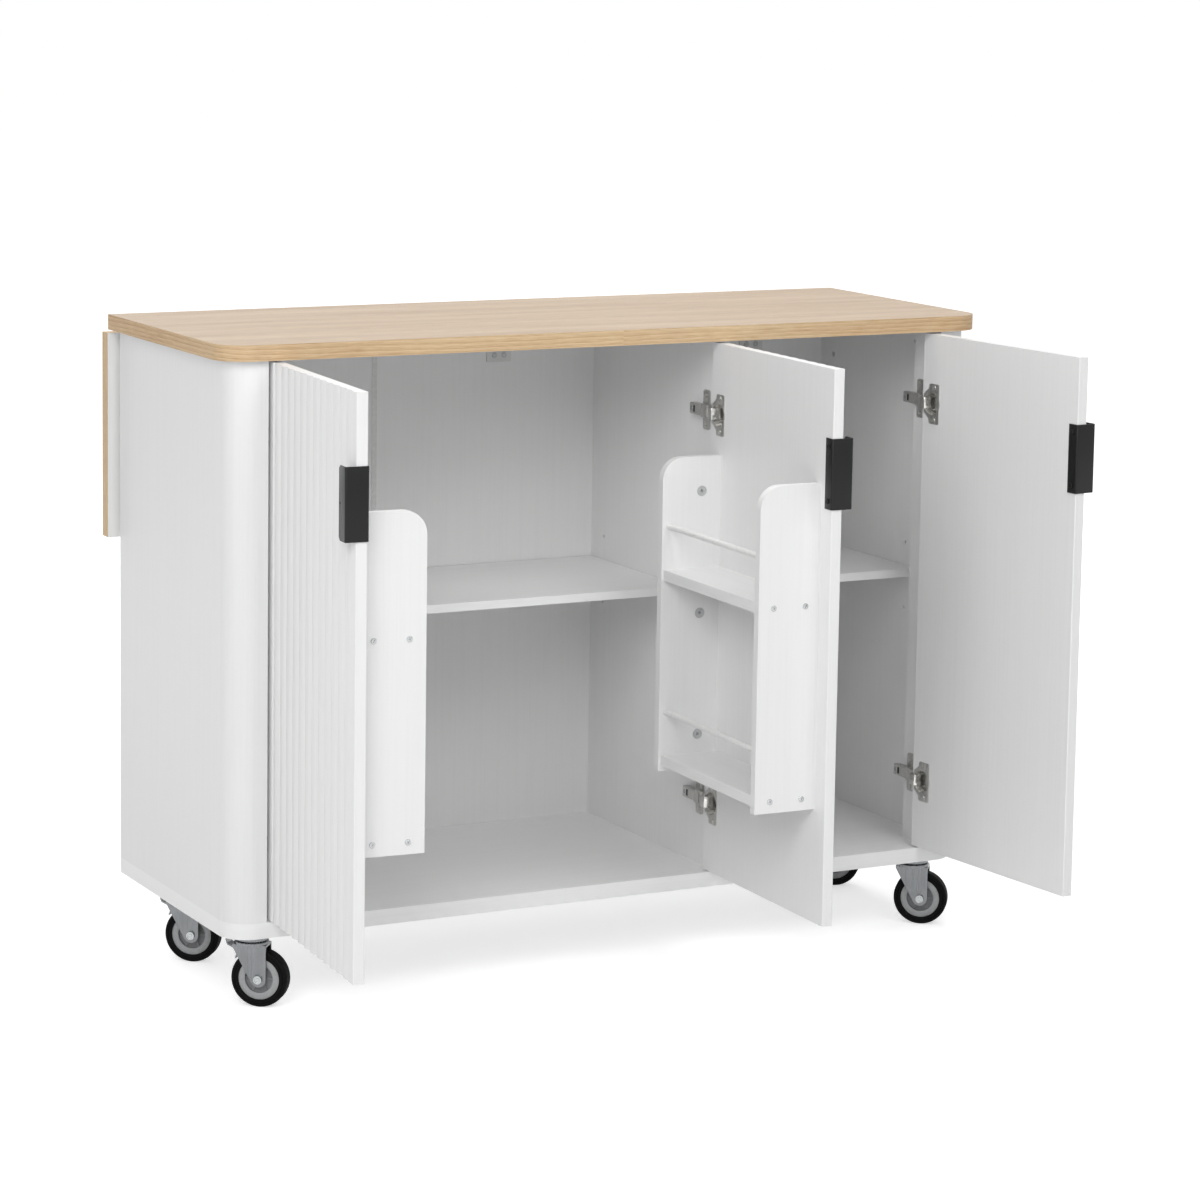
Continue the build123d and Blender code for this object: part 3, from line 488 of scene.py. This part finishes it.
def makeCross(reach, width, depth):
    above = crossShape["above"]
    bpy.ops.mesh.primitive_cube_add(size=1, location=(0, 0, (above - depth) / 2000))
    cross = bpy.context.object
    cross.scale = (width / 1000, width / 1000, (depth + above) / 1000)
    bpy.ops.object.transform_apply(location=True, rotation=True, scale=True)
    pickParts(cross, "FACE", lambda face: abs(face.normal.z) < 0.5)
    bpy.ops.mesh.extrude_faces_move(TRANSFORM_OT_shrink_fatten={"value": (reach - width / 2) / 1000})
    bpy.ops.object.mode_set(mode="OBJECT")
    for vertex in cross.data.vertices:
        if vertex.co.z < 0:
            vertex.co.x *= crossShape["footShare"]
            vertex.co.y *= crossShape["footShare"]
    finishMesh(cross)
    return cross


# Screw heads: radius, rise above the surface, rounding of the rim and the cross's reach, width and
# depth, in mm. The cam lock also reaches down into its bore and has a shallow well in a raised ring
screwKinds = {
    "rackScrew": {"radius": 4.0, "rise": 1.3, "rounding": 0.7, "cross": (2.3, 1.0, 0.9)},
    "pullScrew": {"radius": 3.5, "rise": 1.9, "rounding": 1.1, "cross": (2.0, 0.9, 1.2)},
    "tailScrew": {"radius": 3.1, "rise": 0.6, "rounding": 0.3, "cross": (2.2, 0.9, 0.5)},
    "bracketScrew": {"radius": 3.8, "rise": 2.4, "rounding": 0.8, "cross": (2.2, 1.0, 0.5)},
    "shelfCam": {"radius": 7.5, "rise": 0.4, "rounding": 0.25, "cross": (2.9, 1.7, 2.4),
                 "sunk": 3.0, "ring": 1.2, "well": 0.5},
}


def makeScrew(kind):
    size = screwKinds[kind]
    sunk, well = size.get("sunk", 0), size.get("well", 0)
    bpy.ops.mesh.primitive_cylinder_add(
        vertices=40, radius=size["radius"] / 1000, depth=(size["rise"] + sunk) / 1000,
        location=(0, 0, (size["rise"] - sunk) / 2000))
    head = bpy.context.object
    head.name = kind
    bpy.ops.object.transform_apply(location=True, rotation=True, scale=True)
    top = size["rise"] / 1000 - 0.00001
    if well:
        pickParts(head, "FACE", lambda face: face.normal.z > 0.9)
        bpy.ops.mesh.inset(thickness=size["ring"] / 1000)
        bpy.ops.mesh.extrude_region_move(TRANSFORM_OT_translate={"value": (0, 0, -well / 1000)})
        bpy.ops.object.mode_set(mode="OBJECT")
    pickParts(head, "EDGE", lambda edge: all(head.data.vertices[v].co.z > top for v in edge.vertices))
    bpy.ops.mesh.bevel(offset=size["rounding"] / 1000, segments=4, affect="EDGES")
    bpy.ops.object.mode_set(mode="OBJECT")
    cross = makeCross(*size["cross"])
    cross.data.transform(Matrix.Translation((0, 0, (size["rise"] - well) / 1000)))
    carve(head, cross)
    finishMesh(head, 30)
    return head


screwModels = {kind: makeScrew(kind) for kind in screwKinds}
print("screw heads modelled:", len(screwModels))

# Rack screws through the side boards, cam locks inside them, and the dark screws of the pulls
rackHardware = {
    "screwDepths": (31, 80), "screwHeights": (302.5, 569.5), "outerFaces": ((12, -1), (312, 1)),
    "camDepth": 41, "camHeights": (336, 511.5, 687), "innerFaces": ((24, 1), (300, -1)),
}
pullHardware = {"x": 333, "seat": 12.5, "middle": 752.5, "spacing": 75, "turns": (20, 65)}
for side in doors:
    body = side + "_door"
    inward = doorWay(side, (0, 1, 0))
    x, y, middle = pullHardware["x"], pullHardware["seat"], pullHardware["middle"]
    pullSpots = [
        (doorPlace(side, x, y, middle + up), inward, turn)
        for up, turn in zip(bothSides(pullHardware["spacing"]), pullHardware["turns"])]
    pullScrews = setOut(screwModels["pullScrew"], side + "PullScrews", pullSpots)
    dress(pullScrews, "blackPowderCoat", "black_metal", body, "door_" + side + "_fasteners")
    if side == "right":
        continue
    # the crosses stand at any angle, as screws stop where they are tight
    screwSpots = [
        (doorPlace(side, x, y, z), doorWay(side, (facing, 0, 0)), (x * 7 + y * 3 + z) % 90)
        for x, facing in rackHardware["outerFaces"]
        for y in rackHardware["screwDepths"] for z in rackHardware["screwHeights"]]
    camSpots = [
        (doorPlace(side, x, rackHardware["camDepth"], z), doorWay(side, (facing, 0, 0)),
         (z * 11 + x) % 90)
        for x, facing in rackHardware["innerFaces"] for z in rackHardware["camHeights"]]
    rackScrews = setOut(screwModels["rackScrew"], side + "RackScrews", screwSpots)
    dress(rackScrews, "brightScrew", "nickel", body)
    rackCams = setOut(screwModels["shelfCam"], side + "RackCams", camSpots)
    dress(rackCams, "castZincCam", "nickel", body)
print("rack and pull hardware placed")

# Concealed hinges: driver crosses in the screws, a slot and a depth screw in the arm's tail
hingeHardware = {
    "cupScrew": (20, 13.4), "cupSpacing": 48, "plateScrewY": 44, "plateSpacing": 42, "screwRise": 1.2,
    "plateTurn": 30, "cross": (2.3, 0.9, 0.9), "edge": 0.25, "linkEdge": 0.35,
    "armRise": 10, "tailScrewY": 70, "tailTurn": 15,
    "slotY": 62.5, "slotLength": 4.5, "slotHeight": 9.5, "slotDepth": 4.0,
}
armCutters = []
tailSpots = []
slotSpots = []
crossModel = makeCross(*hingeHardware["cross"])
for side in doors:
    cups = reworked("door_" + side + "_hinge_cups", side + "HingeCups")
    cupX, cupY = hingeHardware["cupScrew"]
    cupSpots = [
        (doorPlace(side, cupX, cupY, z + up), doorWay(side, (0, 1, 0)), z % 90)
        for z in hingeHeights for up in bothSides(hingeHardware["cupSpacing"])]
    carve(cups, setOut(crossModel, "cupCrosses", cupSpots))
    softenEdges(cups, hingeHardware["edge"])
    finishMesh(cups, 30)
    dress(cups, "nickelPlate", "nickel", side + "_door", "door_" + side + "_hinge_cups")
    links = reworked("door_" + side + "_hinge_links", side + "HingeLinks")
    softenEdges(links, hingeHardware["linkEdge"])
    finishMesh(links, 30)
    dress(links, "polishedNickel", "nickel", side + "_hinge_links", "door_" + side + "_hinge_links")
    screwFace = doors[side]["mount"] + hingeHardware["screwRise"]
    armFace = doors[side]["mount"] + hingeHardware["armRise"]
    outward = doorWay(side, (1, 0, 0), opened=False)
    plateSpots = [
        (doorPlace(side, screwFace, hingeHardware["plateScrewY"], z + up, False), outward,
         hingeHardware["plateTurn"])
        for z in hingeHeights for up in bothSides(hingeHardware["plateSpacing"])]
    armCutters.append(setOut(crossModel, "plateCrosses", plateSpots))
    for z in hingeHeights:
        slotMiddle = doorPlace(side, armFace, hingeHardware["slotY"], z, False)
        bpy.ops.mesh.primitive_cube_add(size=1, location=(0, 0, 0))
        slot = bpy.context.object
        slot.scale = (
            2 * hingeHardware["slotDepth"] / 1000, hingeHardware["slotLength"] / 1000,
            hingeHardware["slotHeight"] / 1000)
        slot.location = slotMiddle
        selectOnly(slot)
        bpy.ops.object.transform_apply(location=True, rotation=True, scale=True)
        armCutters.append(slot)
        slotSpots.append((slotMiddle, outward))
        tailSpots.append((
            doorPlace(side, armFace, hingeHardware["tailScrewY"], z, False), outward,
            hingeHardware["tailTurn"]))
bpy.data.objects.remove(crossModel)
selectOnly(armCutters[0])
for cutter in armCutters:
    cutter.select_set(True)
bpy.ops.object.join()
hingeArms = reworked("door_hinge_arms", "hingeArms")
carve(hingeArms, armCutters[0])
softenEdges(hingeArms, hingeHardware["edge"])
finishMesh(hingeArms, 30)
dress(hingeArms, "nickelPlate", "nickel", "island", "door_hinge_arms")
hingeArms.data.materials.append(materials["slotPaintedShade"])
# the slots' walls and floors, found by their place with a little to spare, get the painted shade
slotReach = (hingeHardware["slotLength"] / 2 + 0.35, hingeHardware["slotHeight"] / 2 + 0.45)
for face in hingeArms.data.polygons:
    for slotMiddle, outward in slotSpots:
        away = (face.center - slotMiddle) * 1000
        inSlot = abs(away.y) < slotReach[0] and abs(away.z) < slotReach[1]
        if inSlot and 0.5 < -away.dot(outward) < hingeHardware["slotDepth"] + 1:
            face.material_index = 1
tailScrews = setOut(screwModels["tailScrew"], "hingeTailScrews", tailSpots)
dress(tailScrews, "brightScrew", "nickel", "island")
print("hinges detailed")

# Brackets under the worktop: their screws
bracketHardware = {"screws": (0, 16, 434, 450), "face": 410.2, "height": 840, "turn": 25}
bracketScrews = setOut(screwModels["bracketScrew"], "bracketScrews", [
    (place(x, bracketHardware["face"], bracketHardware["height"]), (0, -1, 0), bracketHardware["turn"])
    for x in bracketHardware["screws"]])
dress(bracketScrews, "castZincCam", "zinc", "island")

# Pulls: softened bends, and a small dimple in the lip where the sheet was hung for coating
pullShape = {
    "dimpleX": 324.5, "front": -20, "dimpleRadius": 1.7, "dimpleTaper": 1.4, "dimpleDepth": 0.9,
    "edge": 0.4}
for side in doors:
    pull = reworked("door_" + side + "_pull", side + "Pull")
    bpy.ops.mesh.primitive_cone_add(
        vertices=24, radius1=pullShape["dimpleRadius"] / 1000,
        radius2=pullShape["dimpleRadius"] / (1000 * pullShape["dimpleTaper"]),
        depth=2 * pullShape["dimpleDepth"] / 1000)
    dimple = bpy.context.object
    dimpleAt = doorPlace(side, pullShape["dimpleX"], pullShape["front"], pullHardware["middle"])
    inward = doorWay(side, (0, 1, 0)).to_track_quat("Z", "Y").to_matrix().to_4x4()
    dimple.data.transform(Matrix.Translation(dimpleAt) @ inward)
    carve(pull, dimple)
    softenEdges(pull, pullShape["edge"])
    finishMesh(pull, 30)
    dress(pull, "blackPowderCoat", "black_metal", side + "_door", "door_" + side + "_pull")
print("pulls detailed")

# Casters: where each plate is, how the fork stands, and the wheel's own sizes in mm
casters = {
    "front_left": (-535, 54), "front_right": (535, 54), "back_left": (-535, 304), "back_right": (535, 304)}
casterShape = {
    "heading": -39, "trail": 13, "axleHeight": 40, "outer": 14.5, "forkEdge": 0.4, "hubEdge": 0.5,
    "tyreRadius": 40, "tyreWidth": 22, "hubRadius": 29, "shoulder": 4.0,
    "grooves": (-4.5, 0, 4.5), "grooveSize": 0.7, "sideLine": 34.5, "ringTurn": 1.3,
    "wellRadius": 20.2,
}
# Axle ends from rim to middle: each step is inset and then raised or sunk, in mm
rivetShape = {"radius": 5.8, "top": 3.6, "steps": ((1.6, -1.0), (1.3, 0.9), (1.0, -0.5)), "edge": 0.35}


def casterMatrix(name):
    x, y = casters[name]
    heading = Matrix.Rotation(math.radians(casterShape["heading"]), 4, "Z")
    axleAt = (casterShape["trail"] / 1000, 0, casterShape["axleHeight"] / 1000)
    return Matrix.Translation(place(x, y, 0)) @ heading @ Matrix.Translation(axleAt)


def makeTyre():
    # modelled with its axle along Z: a drum with rounded shoulders, bored for the hub
    half = casterShape["tyreWidth"] / 2000
    bpy.ops.mesh.primitive_cylinder_add(
        vertices=96, radius=casterShape["tyreRadius"] / 1000, depth=2 * half, location=(0, 0, 0))
    tyre = bpy.context.object
    tyre.name = "tyreModel"
    pickParts(tyre, "EDGE", lambda edge: abs(sum(tyre.data.vertices[v].co.z for v in edge.vertices)) > half)
    bpy.ops.mesh.bevel(offset=casterShape["shoulder"] / 1000, segments=6, affect="EDGES")
    bpy.ops.object.mode_set(mode="OBJECT")
    bpy.ops.mesh.primitive_cylinder_add(
        vertices=80, radius=casterShape["hubRadius"] / 1000, depth=3 * half, location=(0, 0, 0))
    carve(tyre, bpy.context.object)
    rings = [(casterShape["tyreRadius"], z) for z in casterShape["grooves"]]
    rings += [(casterShape["sideLine"], side * casterShape["tyreWidth"] / 2) for side in (-1, 1)]
    for radius, z in rings:  # tread grooves and the moulding line on each wall
        bpy.ops.mesh.primitive_torus_add(
            major_segments=96, minor_segments=8, major_radius=radius / 1000,
            minor_radius=casterShape["grooveSize"] / 1000, location=(0, 0, z / 1000))
        ring = bpy.context.object
        # turned a little, so that no edge of it lies on one of the tyre's
        ring.data.transform(Matrix.Rotation(math.radians(casterShape["ringTurn"]), 4, "Z"))
        selectOnly(ring)
        bpy.ops.object.transform_apply(location=True, rotation=True, scale=True)
        carve(tyre, ring)
    finishMesh(tyre, 30)
    return tyre


def makeRivet():
    # peened axle end: a raised ring, a groove and a low dome in the middle
    bpy.ops.mesh.primitive_cylinder_add(
        vertices=48, radius=rivetShape["radius"] / 1000, depth=rivetShape["top"] / 1000,
        location=(0, 0, rivetShape["top"] / 2000))
    rivet = bpy.context.object
    rivet.name = "rivetModel"
    bpy.ops.object.transform_apply(location=True, rotation=True, scale=True)
    pickParts(rivet, "FACE", lambda face: face.normal.z > 0.9)
    for inset, rise in rivetShape["steps"]:
        bpy.ops.mesh.inset(thickness=inset / 1000)
        bpy.ops.mesh.extrude_region_move(TRANSFORM_OT_translate={"value": (0, 0, rise / 1000)})
    bpy.ops.object.mode_set(mode="OBJECT")
    softenEdges(rivet, rivetShape["edge"], 50)
    finishMesh(rivet, 40)
    return rivet


tyreModel = makeTyre()
rivetModel = makeRivet()
for name in casters:
    wheel = casterMatrix(name)
    axle = wheel.to_3x3() @ Vector((0, 1, 0))
    end, side = name.split("_")
    title = end + side.capitalize()
    tyre = setOut(tyreModel, title + "Tyre", [(wheel.translation, axle, 0)])
    dress(tyre, "mouldedRubber", "black_tyre", name + "_wheel", "caster_" + name + "_tyre")
    reach = casterShape["outer"] / 1000
    rivets = setOut(rivetModel, title + "AxleEnds", [
        (wheel.translation + axle * reach, axle, 0), (wheel.translation - axle * reach, -axle, 0)])
    dress(rivets, "brightScrew", "zinc", name + "_swivel")
    hub = reworked("caster_" + name + "_hub", title + "Hub")
    softenEdges(hub, casterShape["hubEdge"])
    finishMesh(hub, 30)
    dress(hub, "mouldedGreyHub", "grey_hub", name + "_wheel", "caster_" + name + "_hub")
    hub.data.materials.append(materials["paintedShadeGreyHub"])
    toWheel = wheel.inverted()
    for face in hub.data.polygons:  # the well inside the rim, with its ribs, gets the grey with painted shade
        corners = [toWheel @ hub.data.vertices[v].co for v in face.vertices]
        reach = max(math.hypot(at.x, at.z) for at in corners) * 1000
        face.material_index = int(reach < casterShape["wellRadius"])
    fork = reworked("caster_" + name + "_fork", title + "Fork")
    softenEdges(fork, casterShape["forkEdge"])
    finishMesh(fork, 30)
    dress(fork, "zincPlate", "zinc", name + "_swivel", "caster_" + name + "_fork")
for model in [tyreModel, rivetModel] + list(screwModels.values()):
    bpy.data.objects.remove(model)
print("casters detailed")


# Floor: plain, pale, and white to the camera and in reflections, with the shadow kept
floor = {
    "size": 40, "colour": "#e6e6e6",
    "glowNear": 0.56, "glowFar": 1.0, "nearMetres": 1.3, "farMetres": 3.2}
bpy.ops.mesh.primitive_plane_add(size=floor["size"], location=(0, 0, 0))
floorObject = bpy.context.object
floorObject.name = "studioFloor"
bpy.ops.object.mode_set(mode="EDIT")
bpy.ops.mesh.subdivide(number_cuts=3)
bpy.ops.object.mode_set(mode="OBJECT")
floorMaterial, floorShader = newMaterial("paleFloor", Roughness=0.9)
floorShader.inputs["Specular IOR Level"].default_value = 0.0
floorShader.inputs["Base Color"].default_value = srgbToLinear(floor["colour"])
floorAt = addNode(floorMaterial, "ShaderNodeTexCoord").outputs["Object"]
fromMiddle = addNode(floorMaterial, "ShaderNodeVectorMath", {0: floorAt}, operation="LENGTH")
glow = addNode(floorMaterial, "ShaderNodeMapRange", {
    "Value": fromMiddle.outputs["Value"],
    "From Min": floor["nearMetres"], "From Max": floor["farMetres"],
    "To Min": floor["glowNear"], "To Max": floor["glowFar"]}, interpolation_type="SMOOTHSTEP")
lightPath = addNode(floorMaterial, "ShaderNodeLightPath")
seen = addNode(floorMaterial, "ShaderNodeMath", {
    0: lightPath.outputs["Is Camera Ray"], 1: lightPath.outputs["Is Glossy Ray"]}, operation="MAXIMUM")
seen = addNode(floorMaterial, "ShaderNodeMath", {
    0: seen.outputs["Value"], 1: lightPath.outputs["Is Transmission Ray"]}, operation="MAXIMUM")
glow = addNode(floorMaterial, "ShaderNodeMath", {
    0: seen.outputs["Value"], 1: glow.outputs["Result"]}, operation="MULTIPLY")
glowShader = addNode(floorMaterial, "ShaderNodeEmission", {"Strength": glow.outputs["Value"]})
bothShaders = addNode(floorMaterial, "ShaderNodeAddShader", {
    0: floorShader.outputs["BSDF"], 1: glowShader.outputs["Emission"]})
floorMaterial.node_tree.links.new(
    bothShaders.outputs["Shader"], floorMaterial.node_tree.nodes["Material Output"].inputs["Surface"])
floorObject.data.materials.append(floorMaterial)

# World: soft grey light all round, white where the camera or a reflection sees it
world = bpy.data.worlds.new("studioAir")
bpy.context.scene.world = world
world.use_nodes = True
background = world.node_tree.nodes["Background"]
background.inputs["Color"].default_value = (1, 1, 1, 1)
airStrength = {"light": 0.27, "seen": 1.0}
airPath = addNode(world, "ShaderNodeLightPath")
airSeen = addNode(world, "ShaderNodeMath", {
    0: airPath.outputs["Is Camera Ray"], 1: airPath.outputs["Is Glossy Ray"]}, operation="MAXIMUM")
airSeen = addNode(world, "ShaderNodeMath", {
    0: airSeen.outputs["Value"], 1: airPath.outputs["Is Transmission Ray"]}, operation="MAXIMUM")
airMix = addNode(world, "ShaderNodeMapRange", {
    "Value": airSeen.outputs["Value"], "To Min": airStrength["light"], "To Max": airStrength["seen"]})
world.node_tree.links.new(airMix.outputs["Result"], background.inputs["Strength"])

# Softboxes: position, what they point at, size in metres and power in watts
softboxes = {
    "keyLeft": {"at": (-2.6, -3.0, 2.9), "aim": (0, 0, 0.45), "size": 2.4, "power": 91},
    "leftWash": {"at": (-3.4, -1.0, 1.5), "aim": (0, 0, 0.5), "size": 2.4, "power": 9},
    "frontHigh": {"at": (0.5, -2.4, 2.9), "aim": (0.1, 0, 0.3), "size": 1.6, "power": 34},
    "topSoft": {"at": (0.2, 0.4, 3.4), "aim": (0, 0, 0.5), "size": 2.6, "power": 40},
    "backLeft": {"at": (-0.7, 3.9, 1.9), "aim": (0, 0, 0.5), "size": 2.4, "power": 38},
    "backRight": {"at": (3.4, 1.6, 1.8), "aim": (0, 0, 0.5), "size": 2.0, "power": 10},
}
for lampName, lamp in softboxes.items():
    lampData = bpy.data.lights.new(lampName, "AREA")
    lampData.shape = "SQUARE"
    lampData.size = lamp["size"]
    lampData.energy = lamp["power"]
    lampObject = bpy.data.objects.new(lampName, lampData)
    lampObject.location = lamp["at"]
    towards = Vector(lamp["aim"]) - Vector(lamp["at"])
    lampObject.rotation_euler = towards.to_track_quat("-Z", "Y").to_euler()
    bpy.context.scene.collection.objects.link(lampObject)

# Camera, fitted to the photograph: place in mm from the worktop's front edge, angles in radians
camera = {
    "at": (-2483.08, -4656.88, 1488.61),
    "yaw": 0.4712836,
    "pitch": 0.1326106,
    "roll": 0.0136145,
    "focalPixels": 3799.79,
    "axisPixel": (552.25, 425.12),
    "pictureSize": 1200,
}
cameraData = bpy.data.cameras.new("studioCamera")
cameraObject = bpy.data.objects.new("studioCamera", cameraData)
bpy.context.scene.collection.objects.link(cameraObject)
cameraData.sensor_width = 36
cameraData.lens = camera["focalPixels"] / camera["pictureSize"] * 36
cameraData.shift_x = 0.5 - camera["axisPixel"][0] / camera["pictureSize"]
cameraData.shift_y = camera["axisPixel"][1] / camera["pictureSize"] - 0.5
cameraData.clip_start = 0.1
cameraData.clip_end = 100
yaw, pitch, roll = camera["yaw"], camera["pitch"], camera["roll"]
ahead = Vector((math.sin(yaw) * math.cos(pitch), math.cos(yaw) * math.cos(pitch), -math.sin(pitch)))
right = Vector((math.cos(yaw), -math.sin(yaw), 0))
up = right.cross(ahead)
rolledRight = math.cos(roll) * right + math.sin(roll) * up
rolledUp = -math.sin(roll) * right + math.cos(roll) * up
turn = Matrix((rolledRight, rolledUp, -ahead)).transposed().to_4x4()
cameraObject.matrix_world = Matrix.Translation(place(*camera["at"])) @ turn
bpy.context.scene.camera = cameraObject
bpy.context.scene.view_settings.view_transform = "Standard"
print("floor, lights and camera set")
